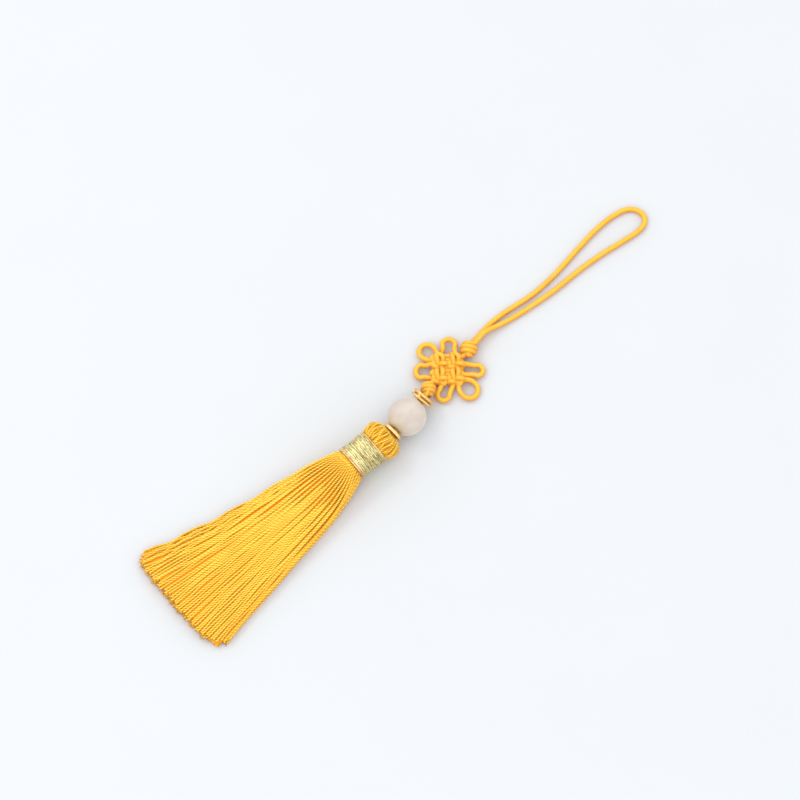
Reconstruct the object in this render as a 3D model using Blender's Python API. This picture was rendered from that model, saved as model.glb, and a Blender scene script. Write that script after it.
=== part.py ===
"""Tassel charm that lies on a table: a skirt and head of folded threads, a neck band of wound
metallic thread, a small cap, a round bead, a grooved ring, a knotted cord and a hanging loop.

Metres, +Z up.  +X runs from the skirt's cut end to the hanging loop and z = 0 is the table.
The tables give millimetres from the skirt's cut end, from the tassel's axis and from the table.
"""
import math
import random

import bmesh
import bpy
from mathutils import Matrix, Vector

MM = 0.001

# The origin lies under the middle of everything but the hanging loop.
ORIGIN_X = 42.099

# Cord
CORD_D = 1.1
CORD_SIDES = 8
CORE_SIDES = 10
ROUTE_STEPS = 24
EAR_POINT_GAP = 0.8
CORE_POINT_GAP = 1.3

# Tassel head and neck, turned about the tassel's axis; their rings lean back from upright by
# the lean, top towards the skirt, because the soft head lies on its side
AXIS_Z = 4.05
LEAN = 11.0
LEAN_FADE = 4.0
NECK_R = 3.0
NECK_START = 46.9
HEAD_R = 4.05
HEAD_START = 53.45
HEAD_END = 56.66
HEAD_TOP_R = 2.3
HEAD_RIBS = 20
HEAD_RIB_DEPTH = 0.13
HEAD_SHOULDER = (
    # past the head's start, inside the full radius
    (0.0, 0.55),
    (0.3, 0.15),
    (0.9, 0.00),
    (1.6, 0.00),
)

# Neck band of wound thread
BAND_START = 47.1
BAND_END = 53.15
BAND_OUTER_R = 3.80
BAND_INNER_R = 3.3
BAND_EDGE = 0.16
BAND_SIDES = 32

# Pieces threaded on the doubled cord, at distances from the bead's centre along its bore
BEAD_R = 4.0
BEAD_CENTRE = (62.26, 0.80, 4.00)
BEAD_YAW = 11.5
BEAD_PITCH = -2.5
BEAD_SIDES = 28
BORE_R = 0.95
CORE_R = 0.62
CAP_OFFSET = -4.93
CAP_YAW = 1.0
CAP_PITCH = 14.5
CAP_R = 2.1
CAP_BORE_R = 1.15
CAP_HALF = 0.35
CAP_CORNER = 0.25
CAP_SIDES = 24
RING_YAW = 8.8
RING_PITCH = 16.8
RING_R = 2.55
RING_BORE_R = 1.40
RING_HALF = 0.65
RING_GROOVE = 0.42
RING_RIM = 0.26
RING_SIDES = 28

# Pan chang knot: four pairs of lines each way, woven in three layers
KNOT_CENTRE = (76.0, 4.27, 1.38)
KNOT_YAW = -39.6
PAIR_PITCH = 1.62
LINE_SPLIT = 0.42
STACK_SPLIT = 0.20
LAYER = 0.80
BODY_CORD_R = 0.49
TURN_REACH = 0.85
EAR_REACH = 0.80
EDGE_FLATTEN = 0.80
LINE_STEPS = 8
BODY_HALF = 3.36
BODY_CELLS = 22
BODY_RIM = 0.16
BODY_SLOPE = 0.56
BODY_CORE = 0.42
BODY_NOTCH = 0.93

# The six ears in the knot's own axes: outer tip, half width, the share of the length where they
# are widest, where the cord leaves and enters along the body's sides, and sag below the knot
EARS = (
    # name            tip_x  tip_y  half_width  widest  leave  enter  sag
    ("top",            0.26,  7.27, 1.36, 0.60,  1.60, -1.25, 0.30),
    ("top_left",      -5.84,  5.38, 1.66, 0.53, -2.05,  1.85, 0.45),
    ("left",          -7.05, -0.30, 1.45, 0.60,  0.95, -1.95, 0.40),
    ("right",          7.74, -0.20, 1.18, 0.68,  1.30, -1.15, 0.55),
    ("bottom_right",   6.05, -6.00, 1.86, 0.53, -2.10,  2.10, 0.68),
    ("bottom",        -1.42, -7.08, 1.26, 0.62,  1.10, -1.20, 0.68),
)
EAR_ANGLES = (118, 76, 38, 0, -38, -76, -118)

# The order in which each cord end works its pairs, and the ear that follows each pair
CORD_COURSES = (
    # cord  pairs: axis, number, ear
    ("A", (("V", 1, "top"), ("V", 3, "top_left"), ("H", 2, "left"), ("H", 4, None))),
    ("B", (("H", 1, "right"), ("H", 3, "bottom_right"), ("V", 2, "bottom"), ("V", 4, None))),
)

# Small round knots above and below the pan chang; the yaw is across their parallel wraps
SMALL_KNOTS = (
    # name         x      y     z     yaw   pitch  radius  flatness
    ("top_knot",    82.15, 4.96, 1.56, 38.0, 0.0, 1.85, 0.80),
    ("bottom_knot", 70.52, 3.27, 2.30, 46.0, -10.0, 1.46, 0.88),
)
WRAP_PITCH = 0.84
WRAP_R = 0.47
WRAP_SHARES = (0.74, 1.0, 0.96, 0.58)
SMALL_KNOT_SIDES = 18

# The four short leads from the pan chang into the small knots
LEAD_R = 0.46
LEAD_REACH = 0.6
LEAD_ASIDE = 0.4
LEAD_POINT_GAP = 0.9

# Doubled cord from the bottom knot to the tassel head, as one round core
CORE_ROUTE = (
    # x      y      z
    (57.25, -0.22, 4.22),
    (58.40, 0.02, 4.17),
    (62.26, 0.80, 4.00),
    (66.20, 1.60, 3.83),
    (67.40, 1.89, 3.74),
    (68.45, 2.24, 3.64),
    (69.55, 2.76, 3.05),
    (70.52, 3.27, 2.30),
)
RING_PLACE = 4

# Hanging loop, from the top knot out along one leg and back along the other
LOOP_ROUTE = (
    # x      y     z
    (84.62, 5.86, 0.95),
    (87.00, 6.36, 0.61),
    (89.60, 6.68, 0.56),
    (92.60, 6.74, 0.56),
    (95.60, 6.50, 0.56),
    (100.00, 6.15, 0.56),
    (105.00, 6.45, 0.56),
    (110.00, 7.25, 0.56),
    (114.50, 8.12, 0.56),
    (119.50, 8.88, 0.56),
    (124.00, 9.02, 0.56),
    (127.20, 8.40, 0.56),
    (128.85, 6.80, 0.56),
    (129.10, 4.95, 0.56),
    (127.90, 3.55, 0.56),
    (125.60, 3.12, 0.56),
    (122.00, 3.42, 0.56),
    (117.00, 3.95, 0.56),
    (111.00, 4.18, 0.56),
    (104.50, 4.02, 0.56),
    (98.00, 4.34, 0.56),
    (93.50, 4.78, 0.58),
    (90.60, 5.20, 0.86),
    (87.20, 5.66, 1.58),
    (84.58, 5.15, 1.96),
)
LOOP_POINT_GAP = 2.4

# The bundle of threads at stations along the skirt, from the neck to the cut end.  Its long
# edges on the sides of -Y and +Y bow in by the edge bows, halfway to their reach.
SKIRT = (
    # x     half_width  bottom  top   roundness
    (47.4,  2.70, 1.35, 6.75, 1.00),
    (46.7,  3.22, 0.83, 7.23, 1.00),
    (45.8,  3.95, 0.45, 7.35, 0.95),
    (42.5,  5.25, 0.00, 6.20, 0.45),
    (38.5,  6.30, 0.00, 4.90, 0.12),
    (33.0,  7.45, 0.00, 3.90, 0.00),
    (24.0,  9.25, 0.00, 3.05, 0.00),
    (12.0, 11.55, 0.00, 2.40, 0.00),
    (0.0,  13.75, 0.00, 2.05, 0.00),
)
STRAND_COLUMNS = 25
STRAND_LAYERS = 3
STRAND_FILL = 0.72
STRAND_WANDER = 0.10
SKIRT_END_BOW = 1.9
SKIRT_RAGGED = 0.45
SKIRT_EDGE_DROP = 0.30
EDGE_BOW_REACH = 40.0
EDGE_BOWS = (0.2, 0.95)

YELLOW = (0.93, 0.52, 0.03)
GOLD = (0.95, 0.72, 0.32)
GREEN_GOLD = (0.62, 0.52, 0.16)
MILKY = (0.86, 0.82, 0.80)


def place(x, y, z):
    """A table's millimetres as a point in metres."""
    return Vector((x - ORIGIN_X, y, z)) * MM


def turned(centre, yaw, pitch=0.0):
    """Matrix of an axis along +X, turned up by pitch and round by yaw, at a table point."""
    turn = Matrix.Rotation(math.radians(yaw), 4, "Z") @ Matrix.Rotation(math.radians(-pitch), 4, "Y")
    return Matrix.Translation(place(*centre)) @ turn


def leaning(x):
    """Matrix of the tassel's axis, whose upright rings lean back as they do at a place x."""
    share = max(0.0, min(1.0, 1.0 - (NECK_START - x) / LEAN_FADE))
    lean = Matrix.Identity(4)
    lean[0][2] = -math.tan(math.radians(LEAN)) * share
    return turned((0.0, 0.0, AXIS_Z), 0.0) @ lean


def clear_scene():
    for old in list(bpy.data.objects):
        bpy.data.objects.remove(old, do_unlink=True)


def finish(name, colour, roughness, metallic=0.0):
    """A plain material for one sub-part."""
    material = bpy.data.materials.new(name)
    material.use_nodes = True
    shader = material.node_tree.nodes["Principled BSDF"]
    shader.inputs["Base Color"].default_value = (*colour, 1.0)
    shader.inputs["Roughness"].default_value = roughness
    shader.inputs["Metallic"].default_value = metallic
    return material


def add_object(name, data, material=None):
    item = bpy.data.objects.new(name, data)
    bpy.context.scene.collection.objects.link(item)
    if material:
        data.materials.append(material)
    return item


def add_mesh(name, bm, material=None):
    """Turns a bmesh into an object with outward faces."""
    bmesh.ops.recalc_face_normals(bm, faces=bm.faces)
    mesh = bpy.data.meshes.new(name)
    bm.to_mesh(mesh)
    bm.free()
    return add_object(name, mesh, material)


def smooth_shade(item, angle=40.0):
    item.data.shade_smooth()
    item.data.set_sharp_from_angle(angle=math.radians(angle))


def smooth_route(points, steps):
    """Catmull-Rom curve through the points, with the given steps between neighbours."""
    points = [Vector(p) for p in points]
    padded = [2 * points[0] - points[1], *points, 2 * points[-1] - points[-2]]
    route = []
    for a, b, c, d in zip(padded, padded[1:], padded[2:], padded[3:]):
        for step in range(steps):
            t = step / steps
            bend = (2 * a - 5 * b + 4 * c - d) * t * t + (3 * b - a - 3 * c + d) * t ** 3
            route.append(b + ((c - a) * t + bend) / 2)
    route.append(points[-1])
    return route


def even_route(points, gap):
    """The smooth curve through the points, read again at even distances of about the gap."""
    dense = smooth_route(points, ROUTE_STEPS)
    reach = [0.0]
    for a, b in zip(dense, dense[1:]):
        reach.append(reach[-1] + (b - a).length)
    count = max(2, round(reach[-1] / gap))
    route = []
    k = 0
    for i in range(count + 1):
        wanted = reach[-1] * i / count
        while k < len(dense) - 2 and reach[k + 1] < wanted:
            k += 1
        share = (wanted - reach[k]) / (reach[k + 1] - reach[k])
        route.append(dense[k].lerp(dense[k + 1], min(1.0, share)))
    return route


def tube(name, points, radius, sides, material=None):
    """A round cord along points in metres, as a curve with a bevel and closed ends."""
    curve = bpy.data.curves.new(name, "CURVE")
    curve.dimensions = "3D"
    curve.bevel_depth = radius
    curve.bevel_resolution = sides // 2 - 2
    curve.use_fill_caps = True
    spline = curve.splines.new("POLY")
    spline.points.add(len(points) - 1)
    for slot, point in zip(spline.points, points):
        slot.co = (*point, 1.0)
    return add_object(name, curve, material)


def fuse(base, parts):
    """Joins closed parts to the base with Boolean unions, and keeps the parts as hidden guides.

    Their meshes are held in millimetres under a scaled object, where the unions are exact enough.
    """
    for item in (base, *parts):
        item.data.transform(Matrix.Scale(1.0 / MM, 4))
        item.scale = (MM, MM, MM)
    for part in parts:
        union = base.modifiers.new("with_" + part.name, "BOOLEAN")
        union.operation = "UNION"
        union.solver = "EXACT"
        union.object = part
        part.hide_render = True
        part.display_type = "WIRE"


def as_mesh(item):
    """Replaces a curve object by its closed mesh, so that a Boolean can read it."""
    graph = bpy.context.evaluated_depsgraph_get()
    mesh = bpy.data.meshes.new_from_object(item.evaluated_get(graph))
    bm = bmesh.new()
    bm.from_mesh(mesh)
    bmesh.ops.remove_doubles(bm, verts=bm.verts, dist=1e-6)
    name = item.name
    bpy.data.objects.remove(item, do_unlink=True)
    return add_mesh(name, bm)


def lathe(bm, profile, segments, matrix):
    """Spins a closed or open (x, radius) profile in millimetres about the matrix's X axis."""
    half_step = math.pi / segments
    flat = math.cos(half_step)
    verts = []
    for x, radius in profile:
        start = Vector((x, 0.0, -radius / flat)) * MM
        verts.append(bm.verts.new(Matrix.Rotation(half_step, 3, "X") @ start))
    edges = [bm.edges.new(pair) for pair in zip(verts, verts[1:])]
    if profile[0][1] > 0 and profile[-1][1] > 0:
        edges.append(bm.edges.new((verts[-1], verts[0])))
    bmesh.ops.spin(bm, geom=verts + edges, cent=(0, 0, 0), axis=(1, 0, 0), angle=math.tau,
                   steps=segments, use_merge=True, use_duplicate=False)
    bmesh.ops.remove_doubles(bm, verts=bm.verts, dist=1e-7)
    bmesh.ops.transform(bm, matrix=matrix, verts=bm.verts)


def arc(centre_x, centre_r, radius, start, end, steps):
    """(x, radius) points on an arc, with angles in degrees from +X towards larger radius."""
    points = []
    for i in range(steps + 1):
        angle = math.radians(start + (end - start) * i / steps)
        points.append((centre_x + radius * math.cos(angle), centre_r + radius * math.sin(angle)))
    return points


# ---------------------------------------------------------------- threaded pieces and band

def make_bead():
    hole = math.degrees(math.asin(BORE_R / BEAD_R))
    bm = bmesh.new()
    lathe(bm, arc(0.0, 0.0, BEAD_R, hole, 180.0 - hole, BEAD_SIDES // 2 - 1), BEAD_SIDES,
          turned(BEAD_CENTRE, BEAD_YAW, BEAD_PITCH))
    smooth_shade(add_mesh("frosted_bead", bm, finish("frosted_bead", MILKY, 0.45)))


def make_cap():
    corner = CAP_CORNER
    profile = [(-CAP_HALF, CAP_BORE_R), (CAP_HALF, CAP_BORE_R)]
    profile += arc(CAP_HALF - corner, CAP_R - corner, corner, 0.0, 90.0, 3)
    profile += arc(corner - CAP_HALF, CAP_R - corner, corner, 90.0, 180.0, 3)
    bm = bmesh.new()
    on_bore = turned(BEAD_CENTRE, BEAD_YAW, BEAD_PITCH) @ Vector((CAP_OFFSET * MM, 0, 0))
    matrix = turned((0, 0, 0), CAP_YAW, CAP_PITCH)
    matrix.translation = on_bore
    lathe(bm, profile, CAP_SIDES, matrix)
    smooth_shade(add_mesh("gold_cap", bm, finish("gold_cap", GOLD, 0.15, 1.0)))


def make_ring():
    """Short tube whose outer face is hollowed between two round rims."""
    rim = RING_RIM
    profile = [(-RING_HALF, RING_BORE_R), (RING_HALF, RING_BORE_R)]
    profile += arc(RING_HALF - rim, RING_R - rim, rim, 0.0, 135.0, 4)
    profile.append((0.0, RING_R - RING_GROOVE))
    profile += arc(rim - RING_HALF, RING_R - rim, rim, 45.0, 180.0, 4)
    bm = bmesh.new()
    lathe(bm, profile, RING_SIDES, turned(CORE_ROUTE[RING_PLACE], RING_YAW, RING_PITCH))
    smooth_shade(add_mesh("gold_ring", bm, finish("gold_ring", GOLD, 0.15, 1.0)))


def make_band():
    edge = BAND_EDGE
    profile = [(BAND_START, BAND_INNER_R), (BAND_END, BAND_INNER_R)]
    profile += arc(BAND_END - edge, BAND_OUTER_R - edge, edge, 0.0, 90.0, 2)
    profile += arc(BAND_START + edge, BAND_OUTER_R - edge, edge, 90.0, 180.0, 2)
    bm = bmesh.new()
    lathe(bm, profile, BAND_SIDES, leaning(BAND_START))
    smooth_shade(add_mesh("gold_band", bm, finish("gold_band", GREEN_GOLD, 0.35, 0.8)))


# ---------------------------------------------------------------- tassel

def make_head():
    """Neck and folded-over head, with shallow ribs where the threads bulge."""
    bulge = HEAD_R - HEAD_TOP_R
    profile = [(NECK_START, 0.0), (NECK_START, NECK_R), (HEAD_START, NECK_R)]
    profile += [(HEAD_START + past, HEAD_R - inside) for past, inside in HEAD_SHOULDER]
    profile += arc(HEAD_END - bulge, HEAD_TOP_R, bulge, 60.0, 0.0, 3)
    profile.append((HEAD_END, 0.0))
    bm = bmesh.new()
    lathe(bm, profile, 2 * HEAD_RIBS, Matrix.Identity(4))
    for vert in bm.verts:
        radius = math.hypot(vert.co.y, vert.co.z)
        if radius > BAND_INNER_R * MM:
            angle = math.atan2(vert.co.y, -vert.co.z)
            ridge = 0.5 - 0.5 * math.cos(HEAD_RIBS * angle)
            shrink = 1.0 - HEAD_RIB_DEPTH * MM * ridge / radius
            vert.co.y *= shrink
            vert.co.z *= shrink
    bmesh.ops.transform(bm, matrix=leaning(HEAD_END), verts=bm.verts)
    return add_mesh("tassel", bm, finish("tassel", YELLOW, 0.7))


def edge_bow(x, side):
    """How far sideways a point of the bundle moves in where the skirt's edges bow in."""
    bow = EDGE_BOWS[0] * min(0.0, side) + EDGE_BOWS[1] * max(0.0, side)
    return bow * math.sin(math.pi * max(0.0, min(1.0, x / EDGE_BOW_REACH)))


def skirt_point(station, across, up, start_x):
    """A point of the bundle: across and up run from -1 to 1 over its section at a station."""
    x, half_width, bottom, top, roundness = station
    side = across * math.sqrt(1.0 - roundness * up * up / 2.0)
    level = up * math.sqrt(1.0 - roundness * across * across / 2.0)
    height = (top - bottom) * (1.0 - SKIRT_EDGE_DROP * (1.0 - roundness) * across * across)
    rise = bottom + height * (level + 1.0) / 2.0
    y = half_width * side - edge_bow(x, side)
    return leaning(x) @ (Vector((x + start_x, y, rise - AXIS_Z)) * MM)


def make_strand(bm, across, up, half_across, half_up, end_x, wander):
    """One four-sided lock, extruded from its root in the neck to its end."""
    corners = ((-1, -1), (1, -1), (1, 1), (-1, 1))
    last = len(SKIRT) - 1
    for k, station in enumerate(SKIRT):
        drift = wander * math.sin(math.pi * k / last) * half_across
        shift = end_x if k == last else 0.0
        spots = [skirt_point(station, across + drift + i * half_across, up + j * half_up, shift)
                 for i, j in corners]
        if k == 0:
            face = bm.faces.new([bm.verts.new(spot) for spot in spots])
            continue
        grown = bmesh.ops.extrude_face_region(bm, geom=[face])["geom"]
        if k > 1:
            bm.faces.remove(face)
        face = next(item for item in grown if isinstance(item, bmesh.types.BMFace))
        for vert, spot in zip(face.verts, spots):
            vert.co = spot


def make_skirt():
    """All locks, side by side in layers; the lowest layer lies level on the table."""
    chance = random.Random(7)
    bm = bmesh.new()
    half_across = STRAND_FILL / STRAND_COLUMNS
    half_up = STRAND_FILL / STRAND_LAYERS
    middle = STRAND_COLUMNS // 2
    for column in range(STRAND_COLUMNS):
        across = (2 * column + 1) / STRAND_COLUMNS - 1.0
        for layer in range(STRAND_LAYERS):
            up = -1.0 + half_up if layer == 0 else (2 * layer + 1) / STRAND_LAYERS - 1.0
            lies_straight = layer == 0 and column == middle
            wander = 0.0 if lies_straight else chance.uniform(-STRAND_WANDER, STRAND_WANDER)
            ragged = chance.uniform(-SKIRT_RAGGED, SKIRT_RAGGED)
            end_x = SKIRT_END_BOW * across * across + SKIRT_RAGGED + ragged
            make_strand(bm, across, up, half_across, half_up, end_x, wander)
    return add_mesh("skirt_locks", bm)


def make_tassel():
    fuse(make_head(), [make_skirt()])


# ---------------------------------------------------------------- knots

def pair_place(number):
    return (2.5 - number) * PAIR_PITCH


def knot_line(axis, number, first):
    """Crossings of one line of a pair, from the positive side to the negative.

    Odd uprights and even rows are cord A, the others are cord B.  Every upright pair holds the
    B rows between its two lines.  The A rows hold the A uprights between theirs, and the B
    uprights pass over the first line of an A row and under its second line.
    """
    side = 1 if first else -1
    odd = number % 2 == 1
    points = []
    for crossing in (1, 2, 3, 4):
        odd_crossing = crossing % 2 == 1
        steps = [(0.0, 0.0)]
        stacked = odd_crossing and (axis == "V" or not odd)
        if stacked:
            steps = [(0.0, -side if axis == "V" and odd else side)]
        elif axis == "H" and not odd:
            steps = [(0.0, -0.5 * side)]
        elif axis == "V" and not odd:
            steps = [(LINE_SPLIT, 0.5), (-LINE_SPLIT, -0.5)]
        offset = pair_place(number) + side * (STACK_SPLIT if stacked else LINE_SPLIT)
        for ahead, level in steps:
            along = pair_place(crossing) + ahead
            spot = (offset, along) if axis == "V" else (along, offset)
            points.append(Vector((*spot, level * LAYER)))
    return points


def beyond(points, reach, aside=None):
    """A point past a line's last pair by the reach, straight on or at the given place aside."""
    step = points[-1] - points[-2]
    way = 0 if abs(step.x) > abs(step.y) else 1
    past = points[-1].copy()
    past[way] = math.copysign(pair_place(1) + reach, step[way])
    if aside is not None:
        past[1 - way] = aside
    past.z *= EDGE_FLATTEN
    return past


def knot_pair(cord, axis, number):
    """A pair's points, out along one line, round its tight turn and back along the other."""
    starts_positive = (cord == "A") == (axis == "V")
    out = knot_line(axis, number, True)
    back = knot_line(axis, number, False)
    if starts_positive:
        back.reverse()
    else:
        out.reverse()
    turn = (beyond(out, TURN_REACH) + beyond([back[1], back[0]], TURN_REACH)) / 2
    turn.z = 0.0
    return out + [turn] + back


def ear_points(name, last_points, next_points):
    """Round bulge from the end of one pair to the start of the next."""
    row = next(row for row in EARS if row[0] == name)
    _, tip_x, tip_y, half_width, widest, leave_at, enter_at, sag = row
    leave = beyond(last_points, EAR_REACH, leave_at)
    enter = beyond([next_points[1], next_points[0]], EAR_REACH, enter_at)
    base = (leave + enter) / 2
    base.z = 0.0
    out = Vector((tip_x, tip_y, 0.0)) - base
    length = out.length - CORD_D / 2
    out.normalize()
    across = Vector((-out.y, out.x, 0.0))
    if across.dot(leave - base) < 0:
        across.negate()
    points = [leave]
    for angle in EAR_ANGLES:
        share = widest + (1.0 - widest) * math.cos(math.radians(angle))
        width = half_width * math.sin(math.radians(angle))
        drop = Vector((0.0, 0.0, -sag * share))
        points.append(base + out * (length * share) + across * width + drop)
    return points + [enter]


def knot_courses():
    """For each cord, its pairs and the ears between them, as lists of points."""
    courses = []
    for cord, rows in CORD_COURSES:
        pairs = [knot_pair(cord, axis, number) for axis, number, _ in rows]
        ears = [ear_points(row[2], pairs[k], pairs[k + 1]) for k, row in enumerate(rows[:-1])]
        courses.append((pairs, ears))
    return courses


def body_height(lines, x, y, up):
    """Height of the woven cords' skin over a spot, or of the packed middle between them."""
    best = BODY_CORE
    for point in lines:
        aside = (point.x - x) ** 2 + (point.y - y) ** 2
        if aside < BODY_CORD_R ** 2:
            best = max(best, up * point.z + math.sqrt(BODY_CORD_R ** 2 - aside))
    return best


def make_knot_body(courses, matrix):
    """The woven square, a slab whose two faces rise and fall with the lines that cross there."""
    lines = []
    for pairs, _ in courses:
        for pair in pairs:
            lines += smooth_route(pair, LINE_STEPS)
    bm = bmesh.new()
    bmesh.ops.create_grid(bm, x_segments=BODY_CELLS, y_segments=BODY_CELLS, size=BODY_HALF)
    sheet = bmesh.ops.extrude_face_region(bm, geom=bm.faces[:])["geom"]
    upper = {item for item in sheet if isinstance(item, bmesh.types.BMVert)}
    for vert in bm.verts:
        x, y = vert.co.x, vert.co.y
        up = 1 if vert in upper else -1
        inside = min(BODY_HALF - abs(x), BODY_HALF - abs(y)) / BODY_SLOPE
        rise = math.sqrt(max(0.0, min(1.0, inside)))
        height = max(body_height(lines, x, y, side) for side in (1, -1))
        if height == BODY_CORE and inside <= 0.0:
            vert.co.xy *= BODY_NOTCH
        vert.co.z = up * (BODY_RIM + (body_height(lines, x, y, up) - BODY_RIM) * rise)
    bmesh.ops.transform(bm, matrix=matrix @ Matrix.Scale(MM, 4), verts=bm.verts)
    return add_mesh("knotwork", bm, finish("knotwork", YELLOW, 0.7))


def make_ears(courses, matrix):
    ears = []
    for pairs, bulges in courses:
        for k, bulge in enumerate(bulges):
            route = [pairs[k][-1], *bulge, pairs[k + 1][0]]
            points = [matrix @ (point * MM) for point in even_route(route, EAR_POINT_GAP)]
            ear = tube(f"ear_{len(ears)}", points, CORD_D * MM / 2, CORD_SIDES)
            ears.append(as_mesh(ear))
    return ears


def make_small_knot(name, x, y, z, yaw, pitch, radius, flatness):
    """A rounded knot whose skin is raised in four parallel wraps of the cord."""
    half = WRAP_PITCH * len(WRAP_SHARES) / 2
    profile = [(half, 0.0)]
    for k, share in enumerate(WRAP_SHARES):
        middle = half - WRAP_PITCH * (k + 0.5)
        profile += arc(middle, radius * share - WRAP_R, WRAP_R, 25.0, 155.0, 3)
    profile.append((-half, 0.0))
    bm = bmesh.new()
    flatten = Matrix.Scale(flatness, 4, (0, 0, 1))
    lathe(bm, profile, SMALL_KNOT_SIDES, turned((x, y, z), yaw, pitch) @ flatten)
    return add_mesh(name, bm)


def make_leads(courses, matrix):
    """The four short stretches between the pan chang and the small knots."""
    knots = {row[0]: place(*row[1:4]) for row in SMALL_KNOTS}
    leads = []
    for (pairs, _), side in zip(courses, (1, -1)):
        first = pairs[0]
        last = pairs[-1]
        for name, ends in (("top_knot", (first[1], first[0])), ("bottom_knot", (last[-2], last[-1]))):
            start = matrix @ (ends[1] * MM)
            past = matrix @ (beyond(ends, LEAD_REACH) * MM)
            target = knots[name]
            aside = (target - past).cross(Vector((0, 0, 1))).normalized() * (LEAD_ASIDE * MM * side)
            if name == "top_knot":
                aside.negate()
            lead = even_route([start / MM, past / MM, (target + aside) / MM], LEAD_POINT_GAP)
            item = tube(f"lead_{len(leads)}", [p * MM for p in lead], LEAD_R * MM, CORD_SIDES)
            leads.append(as_mesh(item))
    return leads


def make_knotwork():
    """Pan chang, both small knots and the cord that runs on through the threaded pieces."""
    matrix = turned(KNOT_CENTRE, KNOT_YAW)
    courses = knot_courses()
    body = make_knot_body(courses, matrix)
    small = [make_small_knot(*row) for row in SMALL_KNOTS]
    core_points = [place(*point) for point in even_route(CORE_ROUTE, CORE_POINT_GAP)]
    core = as_mesh(tube("core", core_points, CORE_R * MM, CORE_SIDES))
    fuse(body, make_ears(courses, matrix) + make_leads(courses, matrix) + small + [core])


# ---------------------------------------------------------------- loop

def make_hanging_loop():
    points = [place(*point) for point in even_route(LOOP_ROUTE, LOOP_POINT_GAP)]
    tube("hanging_loop", points, CORD_D * MM / 2, CORD_SIDES, finish("hanging_loop", YELLOW, 0.7))


clear_scene()
make_tassel()
make_band()
make_cap()
make_bead()
make_ring()
make_knotwork()
make_hanging_loop()
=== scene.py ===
"""Threads, cords, finishes and light for a yellow silk tassel that lies on a pale table.

The tables give millimetres from the skirt's cut end (x), from the tassel's axis (y) and from the
table (z), as in the model.  +X runs from the cut end to the hanging loop.
"""
import math
import random

import bmesh
import bpy
from mathutils import Matrix, Vector


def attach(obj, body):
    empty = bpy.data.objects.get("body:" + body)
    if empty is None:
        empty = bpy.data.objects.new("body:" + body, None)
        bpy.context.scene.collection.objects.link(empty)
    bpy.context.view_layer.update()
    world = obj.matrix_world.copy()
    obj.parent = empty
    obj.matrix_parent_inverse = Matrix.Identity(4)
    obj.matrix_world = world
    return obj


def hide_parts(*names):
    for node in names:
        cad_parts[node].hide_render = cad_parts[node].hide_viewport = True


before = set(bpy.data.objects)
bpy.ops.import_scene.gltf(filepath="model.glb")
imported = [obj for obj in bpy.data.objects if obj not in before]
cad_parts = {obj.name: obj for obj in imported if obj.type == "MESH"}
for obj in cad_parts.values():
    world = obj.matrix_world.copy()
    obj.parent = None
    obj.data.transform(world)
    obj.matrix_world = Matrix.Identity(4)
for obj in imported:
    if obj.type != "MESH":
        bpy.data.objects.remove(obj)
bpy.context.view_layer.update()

MM = 0.001
UP = Vector((0.0, 0.0, 1.0))
ORIGIN_X = 42.099

# Camera, as the photograph looks at the tassel
VIEW_AZIMUTH = 39.6
VIEW_ELEVATION = 68.0
VIEW_CENTRE = (64.55, 5.69, 0.0)
VIEW_DISTANCE = 1449.0
VIEW_LENS = 320.0

# Sky: levels away from and towards its brighter side; lamps in metres and watts
BRIGHT_SIDE = (-0.2, 0.9, 0.4)
SKY_LEVELS = (1.24, 1.40)
SKY_COLOUR = (0.95, 0.975, 1.0)
LAMPS = (
    # name     x      y     z    size  watts  colour
    ("key",   -0.10, 0.45, 0.60, 0.18, 0.6, (1.0, 0.985, 0.96)),
    ("fill",  -0.45, -0.15, 0.50, 0.40, 0.5, (0.93, 0.96, 1.0)),
)
LAMP_TARGET = (60.0, 2.0, 0.0)

# Cord
CORD_R = 0.55
BODY_CORD_R = 0.51
CORD_SIDES = 14
CORD_STEP = 0.16
RIB_PITCH = 0.50
RIB_DEPTH = 0.035
BRAID_LENGTH = 0.46
BRAID_STRANDS = 7

# Head, neck and band, about the tassel's axis; their rings lean back by the lean, top towards
# the skirt, and the lean fades out along the skirt
AXIS_Z = 4.05
LEAN = 11.0
LEAN_FADE = 4.0
NECK_START = 46.9
CORE_PROFILE = (
    # x, radius
    (46.2, 0.0), (46.2, 2.2), (47.2, 2.9), (53.2, 3.18), (54.1, 3.56), (55.6, 3.50), (56.45, 2.9),
    (56.75, 1.9), (56.75, 0.0),
)
HEAD_PROFILE = (
    # x, radius of a thread's middle
    (52.75, 2.95), (53.35, 3.34), (53.90, 3.68), (54.70, 3.82), (55.65, 3.74), (56.40, 3.38),
    (56.86, 2.74), (57.00, 1.90), (56.80, 1.10),
)
HEAD_THREADS = 38
HEAD_MIDDLE_X = 54.3
HEAD_STEP = 0.13
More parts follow.
